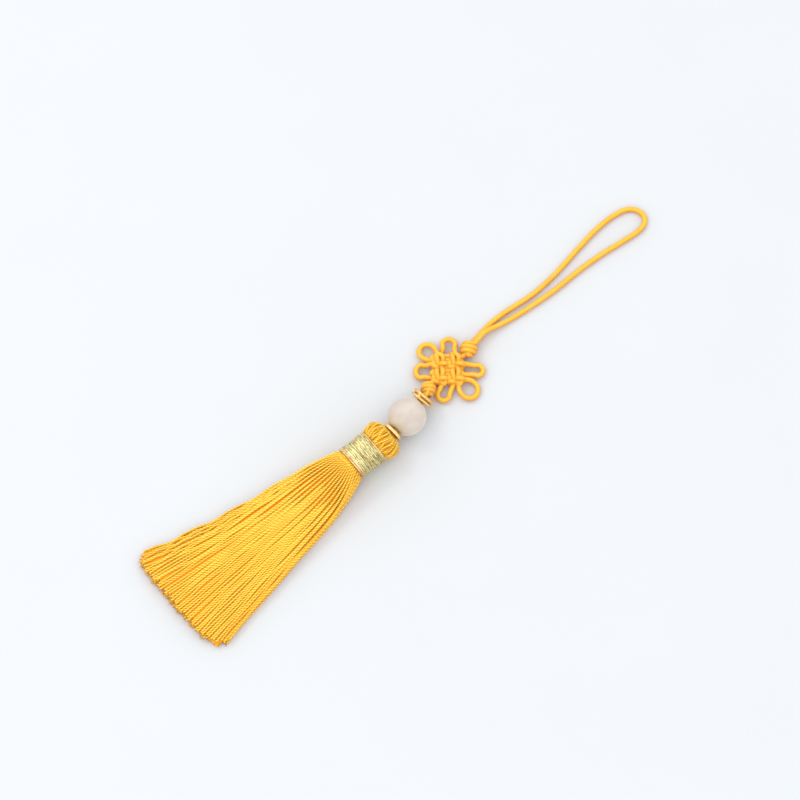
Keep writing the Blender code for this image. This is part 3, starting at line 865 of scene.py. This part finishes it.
def ear_points(name, last_points, next_points):
    """Round bulge from the end of one pair to the start of the next."""
    row = next(row for row in EARS if row[0] == name)
    _, tip_x, tip_y, half_width, widest, leave_at, enter_at, sag = row
    leave = beyond(last_points, EAR_REACH, leave_at)
    enter = beyond([next_points[1], next_points[0]], EAR_REACH, enter_at)
    base = (leave + enter) / 2
    base.z = 0.0
    out = Vector((tip_x, tip_y, 0.0)) - base
    length = out.length - CORD_R
    out.normalize()
    across = Vector((-out.y, out.x, 0.0))
    if across.dot(leave - base) < 0:
        across.negate()
    points = [leave]
    for angle in EAR_ANGLES:
        share = widest + (1.0 - widest) * math.cos(math.radians(angle))
        width = half_width * math.sin(math.radians(angle))
        drop = Vector((0.0, 0.0, -sag * share))
        points.append(base + out * (length * share) + across * width + drop)
    return points + [enter]


def knot_matrix():
    """From the knot's own millimetres to the table's."""
    return Matrix.Translation(Vector(KNOT_CENTRE)) @ Matrix.Rotation(math.radians(KNOT_YAW), 4, "Z")


def lead(points, name, side):
    """The stretch from a pair's outer end into a small knot, in table millimetres."""
    matrix = knot_matrix()
    past = matrix @ beyond(points, LEAD_REACH)
    target = next(Vector(row[1:4]) for row in SMALL_KNOTS if row[0] == name)
    aside = (target - past).cross(UP).normalized() * (LEAD_ASIDE * side)
    if name == "top_knot":
        aside.negate()
    return [past, target + aside]


def make_knot_cords(cord_finish):
    matrix = knot_matrix()
    for (cord, rows), side in zip(CORD_COURSES, (1, -1)):
        pairs = [knot_pair(cord, axis, number) for axis, number, _ in rows]
        points = lead([pairs[0][1], pairs[0][0]], "top_knot", side)[::-1]
        body_spans = []
        for k, (pair, row) in enumerate(zip(pairs, rows)):
            start = len(points)
            points += [matrix @ point for point in pair]
            body_spans.append((start, len(points) - 1))
            if row[2]:
                points += [matrix @ point for point in ear_points(row[2], pair, pairs[k + 1])]
        points += lead([pairs[-1][-2], pairs[-1][-1]], "bottom_knot", side)
        route = even_route(points, CORD_STEP)
        half = pair_place(1) + TURN_REACH
        inverse = matrix.inverted()
        sizes = []
        for size, point in zip(ribbed(route, 1.0), route):
            local = inverse @ point
            outside = max(abs(local.x), abs(local.y)) - half
            sizes.append(size * (BODY_CORD_R + (CORD_R - BODY_CORD_R) * ease(outside / EAR_SWELL)))
        piece = Piece()
        piece.tube(route, [1.0] * CORD_SIDES, scale=sizes)
        nodes = ("knotwork",) if cord == "A" else ()
        piece.done("knot_cord_" + cord.lower(), cord_finish, "yellow_cord", *nodes)


def wrap_swell(turn):
    """How full the wraps of a small knot are, by the number of turns already laid."""
    last = len(WRAP_SHARES) - 1
    k = min(int(turn), last - 1)
    return WRAP_SHARES[k] + (WRAP_SHARES[k + 1] - WRAP_SHARES[k]) * ease(turn - k)


def make_small_knot(cord_finish, name, x, y, z, yaw, pitch, radius, flatness):
    """Parallel wraps of the cord round its two legs."""
    centre = Vector((x, y, z))
    turn = Matrix.Translation(centre)
    turn = turn @ Matrix.Rotation(math.radians(yaw), 4, "Z")
    turn = turn @ Matrix.Rotation(math.radians(-pitch), 4, "Y")
    points = []
    for k in range(int(WRAP_TURNS * WRAP_POINTS) + 1):
        laid = k / WRAP_POINTS
        angle = -math.tau * laid
        along = (laid - WRAP_TURNS / 2) * WRAP_PITCH
        out = radius * wrap_swell(max(0.0, laid - WRAP_LAG)) - WRAP_R
        spot = Vector((along, out * math.sin(angle), out * flatness * math.cos(angle)))
        points.append(turn @ spot)
    route = even_route(points, CORD_STEP, steps=6)
    piece = Piece()
    piece.tube(route, [1.0] * CORD_SIDES, scale=ribbed(route, WRAP_R + WRAP_SWELL))
    middle = [turn @ Vector((along, 0.0, 0.0)) for along in KNOT_CORE_X]
    piece.tube(middle, [KNOT_CORE_R * radius / KNOT_CORE_FITS_R] * CORD_SIDES)
    if name == "top_knot":
        for end, next_point in ((LOOP_ROUTE[0], LOOP_ROUTE[1]), (LOOP_ROUTE[-1], LOOP_ROUTE[-2])):
            end = Vector(end)
            back = (end - Vector(next_point)).normalized()
            root = end.lerp(centre, LEG_DEPTH)
            leg = even_route([root, end + back * LEG_STRAIGHT, end], CORD_STEP)
            piece.tube(leg, [1.0] * CORD_SIDES, scale=ribbed(leg, CORD_R))
    piece.done(name + "_wraps", cord_finish, "yellow_cord")


def make_doubled_cord(cord_finish):
    """The two legs of the cord, lightly twisted, from the bottom knot into the head."""
    middle = even_route(CORE_ROUTE, CORD_STEP)
    piece = Piece()
    for start in (0.0, math.pi):
        route = []
        for k, point in enumerate(middle):
            ahead = (middle[min(k + 1, len(middle) - 1)] - middle[max(k - 1, 0)]).normalized()
            side = ahead.cross(UP).normalized()
            up = side.cross(ahead)
            angle = start + DOUBLED_TWIST * k * CORD_STEP
            route.append(point + (side * math.cos(angle) + up * math.sin(angle)) * DOUBLED_OFFSET)
        piece.tube(route, [1.0] * CORD_SIDES, scale=ribbed(route, DOUBLED_CORD_R))
    piece.done("doubled_cord", cord_finish, "yellow_cord")


# ---------------------------------------------------------------- threaded pieces

def make_bead():
    hole = math.degrees(math.asin(BORE_R / BEAD_R))
    bead = Piece()
    bead.spun(arc(0.0, 0.0, BEAD_R, hole, 180.0 - hole, steps=60), segments=96,
              matrix=turned(BEAD_CENTRE, BEAD_YAW, BEAD_PITCH))
    bead.done("turned_bead", frosted_glass(), "frosted_glass", "frosted_bead", sharp=40)


def make_cap():
    profile = [(-CAP_HALF, CAP_BORE_R), (CAP_HALF, CAP_BORE_R)]
    profile += arc(CAP_HALF - CAP_CORNER, CAP_R - CAP_CORNER, CAP_CORNER, 0.0, 90.0, steps=8)
    profile += arc(CAP_CORNER - CAP_HALF, CAP_R - CAP_CORNER, CAP_CORNER, 90.0, 180.0, steps=8)
    matrix = turned((0, 0, 0), CAP_YAW, CAP_PITCH)
    matrix.translation = turned(BEAD_CENTRE, BEAD_YAW, BEAD_PITCH) @ Vector((CAP_OFFSET * MM, 0, 0))
    cap = Piece()
    cap.spun(profile, segments=80, matrix=matrix)
    finish = polished_gold("cap_gold", CAP_HOLLOW_R, *CAP_GOLD)
    cap.done("turned_cap", finish, "polished_gold", "gold_cap", sharp=50)


def make_ring():
    profile = [(-RING_HALF, RING_BORE_R), (RING_HALF, RING_BORE_R)]
    profile += arc(RING_HALF - RING_RIM, RING_R - RING_RIM, RING_RIM, 0.0, 160.0, steps=10)
    floor_r = RING_R - RING_GROOVE
    profile += [(RING_FLOOR_HALF, floor_r), (-RING_FLOOR_HALF, floor_r)]
    profile += arc(RING_RIM - RING_HALF, RING_R - RING_RIM, RING_RIM, 20.0, 180.0, steps=10)
    ring = Piece()
    ring.spun(profile, segments=96, matrix=turned(CORE_ROUTE[RING_PLACE], RING_YAW, RING_PITCH))
    finish = polished_gold("ring_gold", floor_r, *RING_GOLD)
    ring.done("turned_ring", finish, "polished_gold", "gold_ring", sharp=50)


# ---------------------------------------------------------------- wound band

def around_axis(x, radius, angle):
    """A point of a leaning ring about the tassel's axis; angle 0 is on top."""
    return leaned(Vector((x, radius * math.sin(angle), AXIS_Z + radius * math.cos(angle))))


def make_band():
    sleeve = Piece()
    inner, outer = BAND_SLEEVE_R
    low, high = BAND_START + BAND_SLEEVE_INSET, BAND_END - BAND_SLEEVE_INSET
    profile = [(low, inner), (high, inner), (high, outer), (low, outer)]
    sleeve.spun(profile, segments=64, matrix=leaning())
    green_gold = metallic_thread("band_foil", *BAND_FOIL_AND_GLINTS)
    rose_gold = metallic_thread("band_edge_foil", *BAND_EDGE_FOIL_AND_GLINTS)
    sleeve.done("band_sleeve", green_gold, "metallic_thread", "gold_band", sharp=50)

    winding = Piece()
    start = BAND_START + BAND_WINDING_INSET
    turns = (BAND_END - BAND_WINDING_INSET - start) / BAND_PITCH
    lump, lump_waves = BAND_LUMPS
    route = []
    for k in range(int(turns * BAND_TURN_POINTS)):
        angle = math.tau * k / BAND_TURN_POINTS
        wobble = sum(size * math.sin(angle * waves + phase) for size, waves, phase in BAND_WOBBLES)
        x = start + BAND_PITCH * k / BAND_TURN_POINTS + wobble
        route.append(around_axis(x, BAND_R + lump * math.sin(angle * lump_waves), angle))
    winding.tube(route, [BAND_WIRE_R] * BAND_WIRE_SIDES)
    winding.done("band_winding", green_gold, "metallic_thread")

    edges = Piece()
    for x, slant, height, radius in BAND_EDGES:
        route = []
        for k in range(BAND_EDGE_POINTS + 1):
            angle = math.tau * k / BAND_EDGE_POINTS
            aside = slant * math.sin(angle * 0.5 + 0.4)
            route.append(around_axis(x + aside, BAND_R + height, angle))
        edges.tube(route, [radius] * BAND_WIRE_SIDES)
    edges.done("band_edge_turns", rose_gold, "metallic_thread")


# ---------------------------------------------------------------- threads of head and skirt

def plied(sides):
    """Radii round a thread whose section is the plies laid against each other."""
    radii = []
    for j in range(sides):
        share = j * PLIES / sides
        angle = (share - round(share)) * math.tau / PLIES
        inner = math.sqrt(PLY_R ** 2 - (PLY_OUT * math.sin(angle)) ** 2)
        radii.append(PLY_OUT * math.cos(angle) + inner)
    return radii


def twist(route, length):
    """The section's angle at each point, a full turn in each length, from a random start."""
    turns = []
    start = rng.uniform(0, math.tau)
    travelled = 0.0
    for k, point in enumerate(route):
        if k:
            travelled += (point - route[k - 1]).length
        turns.append(start + math.tau * travelled / length)
    return turns


def make_head(thread):
    core = Piece()
    core.spun(CORE_PROFILE, segments=48, matrix=leaning())
    core.done("core_painted_shade", painted_shade_and_glow(), "yellow_thread", "tassel")
    head = Piece()
    middle = around_axis(HEAD_MIDDLE_X, 0.0, 0.0)
    for layer in range(2):
        for k in range(HEAD_THREADS):
            angle = math.tau * (k + 0.5 * layer) / HEAD_THREADS + rng.uniform(-0.04, 0.04)
            slant = rng.uniform(*HEAD_SLANTS)
            lift = rng.uniform(*HEAD_LIFTS) - HEAD_LAYER_DROP * layer
            shift = rng.uniform(*HEAD_SHIFTS)
            phase = rng.uniform(0, math.tau)
            points = []
            for i, (x, radius) in enumerate(HEAD_PROFILE):
                share = i / (len(HEAD_PROFILE) - 1)
                out = radius + lift * math.sin(math.pi * share)
                wander = HEAD_WANDER * math.sin(phase + 7.0 * share) * math.sin(math.pi * share)
                out += HEAD_LUMP * math.sin(2 * phase + 13.0 * share) * math.sin(math.pi * share)
                spot = around_axis(x + shift * share, out, angle + slant * (share - 0.5) + wander)
                spot.z = max(spot.z, THREAD_R)
                points.append(spot)
            route = even_route(points, HEAD_STEP)
            # Rise, read as painted light on the tops, faces away from the head's middle.
            head.tube(route, plied(12), twist(route, HEAD_TWIST_LENGTH),
                      tone_and_depth_shade=rng.uniform(*HEAD_TONES) - HEAD_LAYER_SHADE * layer,
                      outward=lambda spot: spot - middle)
    head.done("head_threads", thread, "yellow_thread")


def section(x):
    """Half width, bottom, top and roundness of the bundle at a place along the skirt."""
    x = max(0.0, min(SKIRT[0][0], x))
    k = 0
    while k < len(SKIRT) - 2 and SKIRT[k + 1][0] > x:
        k += 1
    a, b = SKIRT[k], SKIRT[k + 1]
    before, after = SKIRT[max(k - 1, 0)], SKIRT[min(k + 2, len(SKIRT) - 1)]
    span = b[0] - a[0]
    t = (x - a[0]) / span
    numbers = []
    for i in range(1, 5):
        slope_a = (b[i] - before[i]) / (b[0] - before[0]) * span
        slope_b = (after[i] - a[i]) / (after[0] - a[0]) * span
        start = (2 * t ** 3 - 3 * t ** 2 + 1) * a[i] + (t ** 3 - 2 * t ** 2 + t) * slope_a
        numbers.append(start + (3 * t ** 2 - 2 * t ** 3) * b[i] + (t ** 3 - t ** 2) * slope_b)
    return numbers


def edge_bow(x, side):
    """How far sideways a point of the bundle moves in where the skirt's edges bow in."""
    bow = EDGE_BOWS[0] * min(0.0, side) + EDGE_BOWS[1] * max(0.0, side)
    return bow * math.sin(math.pi * max(0.0, min(1.0, x / EDGE_BOW_REACH)))


def bundle_spot(x, across, up):
    """Middle of a thread: across and up run from -1 to 1 over the bundle at x."""
    half_width, bottom, top, roundness = section(x)
    roundness = max(0.0, min(1.0, roundness))
    side = across * math.sqrt(max(0.0, 1.0 - roundness * up * up / 2.0))
    level = up * math.sqrt(max(0.0, 1.0 - roundness * across * across / 2.0))
    height = top - bottom
    height *= 1.0 - SKIRT_EDGE_DROP * (1.0 - roundness) * across * across
    rise = bottom + THREAD_R + (height - 2 * THREAD_R) * (level + 1.0) / 2.0
    y = (half_width - THREAD_R) * side - edge_bow(x, side)
    return leaned(Vector((x, y, max(THREAD_R + TABLE_GAP, rise))))


def clumps():
    """For each column, its lean to its clump's middle, how high it rides and the clump's drift.

    The drift is a slow wave: its size, its length in millimetres and its phase.
    """
    leans = []
    column = 0
    while column < THREAD_COLUMNS:
        size = min(rng.choice(CLUMP_SIZES), THREAD_COLUMNS - column)
        pull = rng.choice(CLUMP_PULLS)
        drift = (rng.uniform(0.0, CLUMP_DRIFT), rng.uniform(*DRIFT_LENGTHS), rng.uniform(0, math.tau))
        for k in range(size):
            off = k - (size - 1) / 2
            lean = -off * pull
            ride = 1.0 - (2 * off / max(1, size)) ** 2
            leans.append((lean, ride, drift))
        column += size
    return leans


def thread_route(column, layer, lean, ride, drift):
    """One thread's way from the neck, where it lies deep in a stack, to its place in the fan."""
    last = THREAD_COLUMNS - 1
    together = THREAD_COLUMNS // NECK_COLUMNS
    depth = layer * together + (column * 2 + layer) % together
    neck = (2 * (column // together) / (NECK_COLUMNS - 1) - 1, 2 * depth / (NECK_DEPTH - 1) - 1)
    stagger = 0.5 if layer == 1 else 0.0
    end = (2 * min(last, max(0.0, column + stagger - 0.25)) / last - 1, THREAD_LAYERS[layer][1])
    spread = rng.uniform(*SPREADS)
    phase = rng.uniform(0, math.tau)
    length = rng.uniform(*SWAY_LENGTHS)
    crimp = rng.uniform(0.0, CRIMP) * ease((end[0] - CRIMP_START) / CRIMP_GROWTH)
    crimp_length = rng.uniform(*CRIMP_LENGTHS)
    drift_size = drift[0] * (1.0 - end[0] ** 4)
    sway = rng.uniform(0.0, SWAY + EDGE_SWAY * ease(end[0] / EDGE_SWAY_FULL))
    lift = rng.uniform(-THREAD_LIFT, THREAD_LIFT)
    end_x = SKIRT_END_BOW * end[0] ** 8 + SKIRT_END_SLANT * max(0.0, -end[0]) ** 3
    end_x += SKIRT_END_X + SKIRT_RAGGED * rng.uniform(0.0, 2.0)
    points = []
    for k in range(THREAD_STEPS + 1):
        x = SKIRT_TOP_X + (end_x - SKIRT_TOP_X) * k / THREAD_STEPS
        share = ease((SKIRT_TOP_X - x) / spread)
        opened = ease((SKIRT_TOP_X - x) / OPENING)
        across = neck[0] + (end[0] - neck[0]) * share
        across += opened * (lean * 2 / last + sway * math.sin(phase + math.tau * x / length))
        across += opened * drift_size * math.sin(drift[2] + math.tau * x / drift[1])
        up = neck[1] + (end[1] - neck[1]) * share
        up += opened * (lift + CLUMP_RIDE * ride)
        spot = bundle_spot(x, max(-1.0, min(1.0, across)), max(-1.0, min(1.0, up)))
        wave = 1.0 + math.sin(phase + math.tau * x / crimp_length)
        spot.y -= opened * ease(x / CRIMP_FADE) * crimp * wave
        points.append(spot)
    return points


def make_hairs(piece, end, ahead):
    """Loose fibres at a thread's cut end."""
    for _ in range(FRAY_HAIRS):
        aside = Vector((rng.uniform(-1, 1), rng.uniform(-1, 1), rng.uniform(-0.5, 1)))
        root = end - ahead * HAIR_ROOT + aside * HAIR_APART
        middle = root + ahead * rng.uniform(*HAIR_MIDDLES) + aside * HAIR_MIDDLE_ASIDE
        tip = middle + ahead * rng.uniform(*HAIR_TIPS) + aside * rng.uniform(*HAIR_TIPS_ASIDE)
        for spot in (root, middle, tip):
            spot.z = max(spot.z, TABLE_GAP)
        piece.tube([root, middle, tip], [HAIR_R] * 3, scale=HAIR_SCALE, tone_and_depth_shade=HAIR_TONE)


def swollen_end(count):
    """Sizes along a thread, which opens a little at its cut end."""
    start = count - END_SWELL_POINTS
    return [1.0 + END_SWELL * ease((k - start) / END_SWELL_POINTS) for k in range(count)]


def make_underlay():
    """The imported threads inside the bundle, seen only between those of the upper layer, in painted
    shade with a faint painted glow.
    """
    underlay = Piece()
    route = [Vector((UNDERLAY_START - UNDERLAY_STEP * k, 0.0, 0.0)) for k in range(UNDERLAY_POINTS)]
    underlay.tube(route, [1.0] * UNDERLAY_SIDES)
    for vert in underlay.bm.verts:
        x = vert.co.x / MM + ORIGIN_X
        angle = math.atan2(vert.co.z, vert.co.y)
        across = UNDERLAY_WIDTH * math.cos(angle)
        up = UNDERLAY_MIDDLE + UNDERLAY_HEIGHT * math.sin(angle)
        vert.co = place(*bundle_spot(x, across, up))
    underlay.done("underlay_painted_shade", painted_shade_and_glow(), "yellow_thread")


def make_skirt(thread):
    layers = []
    for layer in range(len(THREAD_LAYERS)):
        leans = clumps()
        layers.append([thread_route(c, layer, *leans[c]) for c in range(THREAD_COLUMNS)])
    for routes, (name, _, sides, gap, tone_and_depth_shade, stretches) in zip(layers, THREAD_LAYERS):
        for first, end, suffix in stretches:
            piece = Piece()
            for column in range(first, end):
                at_edge = min(column, THREAD_COLUMNS - 1 - column) < EDGE_COLUMNS
                section_sides = EDGE_SIDES if at_edge else sides
                fine_gap = EDGE_GAP if at_edge else gap
                route = even_route(routes[column], fine_gap, steps=8)
                # The tops that get painted light lean outwards towards the skirt's edges.
                aside = EDGE_TURN * (2 * column / (THREAD_COLUMNS - 1) - 1) ** 5
                piece.tube(route, plied(section_sides), twist(route, TWIST_LENGTH),
                           tone_and_depth_shade=rng.uniform(*THREAD_TONES) * tone_and_depth_shade, scale=swollen_end(len(route)),
                           outward=lambda spot: Vector((0.0, aside, 1.0)))
                make_hairs(piece, route[-1], (route[-1] - route[-3]).normalized())
            piece.done("skirt_threads_" + name + suffix, thread, "yellow_thread")


# ---------------------------------------------------------------- table and light

def set_stage():
    bpy.ops.mesh.primitive_plane_add(size=4.0, location=(0, 0, 0))
    table = bpy.context.object
    table.name = "table"
    table.data.materials.append(table_top())
    world = bpy.data.worlds.new("soft_room")
    world.use_nodes = True
    sky = world.node_tree
    toward = sky.nodes.new("ShaderNodeVectorMath")
    toward.operation = "DOT_PRODUCT"
    toward.inputs[1].default_value = Vector(BRIGHT_SIDE).normalized()
    sky.links.new(sky.nodes.new("ShaderNodeTexCoord").outputs["Generated"], toward.inputs[0])
    level = sky.nodes.new("ShaderNodeMapRange")
    level.inputs["From Min"].default_value = -1.0
    level.inputs["To Min"].default_value = SKY_LEVELS[0]
    level.inputs["To Max"].default_value = SKY_LEVELS[1]
    sky.links.new(toward.outputs["Value"], level.inputs["Value"])
    sky.links.new(level.outputs["Result"], sky.nodes["Background"].inputs["Strength"])
    sky.nodes["Background"].inputs["Color"].default_value = (*SKY_COLOUR, 1.0)
    bpy.context.scene.world = world
    for name, x, y, z, size, watts, colour in LAMPS:
        lamp = bpy.data.lights.new(name, "AREA")
        lamp.size = size
        lamp.energy = watts
        lamp.color = colour
        item = bpy.data.objects.new(name, lamp)
        bpy.context.scene.collection.objects.link(item)
        look_at(item, Vector((x, y, z)), place(*LAMP_TARGET))
    bpy.context.scene.view_settings.view_transform = "Standard"


set_camera()
cord_finish = braided_cord()
make_loop(cord_finish)
make_knot_cords(cord_finish)
for row in SMALL_KNOTS:
    make_small_knot(cord_finish, *row)
make_doubled_cord(cord_finish)
make_bead()
make_cap()
make_ring()
make_band()
thread_finish = silky_thread()
make_head(thread_finish)
make_underlay()
make_skirt(thread_finish)
set_stage()
